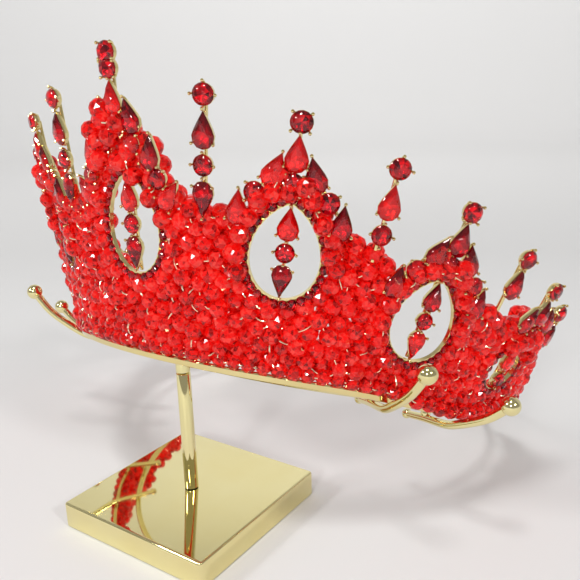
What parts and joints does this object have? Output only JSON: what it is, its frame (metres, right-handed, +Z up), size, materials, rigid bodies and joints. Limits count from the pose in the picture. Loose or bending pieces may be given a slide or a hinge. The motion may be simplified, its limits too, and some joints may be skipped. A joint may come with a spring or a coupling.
{
  "type": "crystal tiara on display stand",
  "caption": "Leaning red crystal bead tiara with pointed openings, stone crests and free stone spikes, on a gold stand with a square base, post and tilted ring.",
  "frame": {"origin": "middle of the underside of the stand's square base", "axes": "+Z up, -Y towards the tiara's front, +X to its right as seen from the front"},
  "size_m": [0.184, 0.1552, 0.1373],
  "materials": {
    "stand_gold": "polished pale gold plating",
    "tiara_gold": "bright pale gold plating",
    "crystal_beads": "faceted clear red crystal",
    "set_stones": "cut dark red crystal in gold settings"
  },
  "bodies": {
    "root": {"stand_base": "stand_gold", "stand_post": "stand_gold", "stand_ring": "stand_gold", "tiara_band": "tiara_gold", "bead_wall": "crystal_beads", "opening_rim_centre": "tiara_gold", "opening_rim_left_2": "tiara_gold", "opening_rim_right_2": "tiara_gold", "opening_rim_left_4": "tiara_gold", "opening_rim_right_4": "tiara_gold", "opening_rim_left_6": "tiara_gold", "opening_rim_right_6": "tiara_gold", "strand_centre": "set_stones", "strand_left_2": "set_stones", "strand_right_2": "set_stones", "strand_left_4": "set_stones", "strand_right_4": "set_stones", "strand_left_6": "set_stones", "strand_right_6": "set_stones", "crest_centre": "set_stones", "crest_left_2": "set_stones", "crest_right_2": "set_stones", "crest_left_4": "set_stones", "crest_right_4": "set_stones", "crest_left_6": "set_stones", "crest_right_6": "set_stones", "spike_left_1": "set_stones", "spike_right_1": "set_stones", "spike_left_3": "set_stones", "spike_right_3": "set_stones", "spike_left_5": "set_stones", "spike_right_5": "set_stones", "spike_left_7": "set_stones", "spike_right_7": "set_stones"}
  },
  "joints": []
}
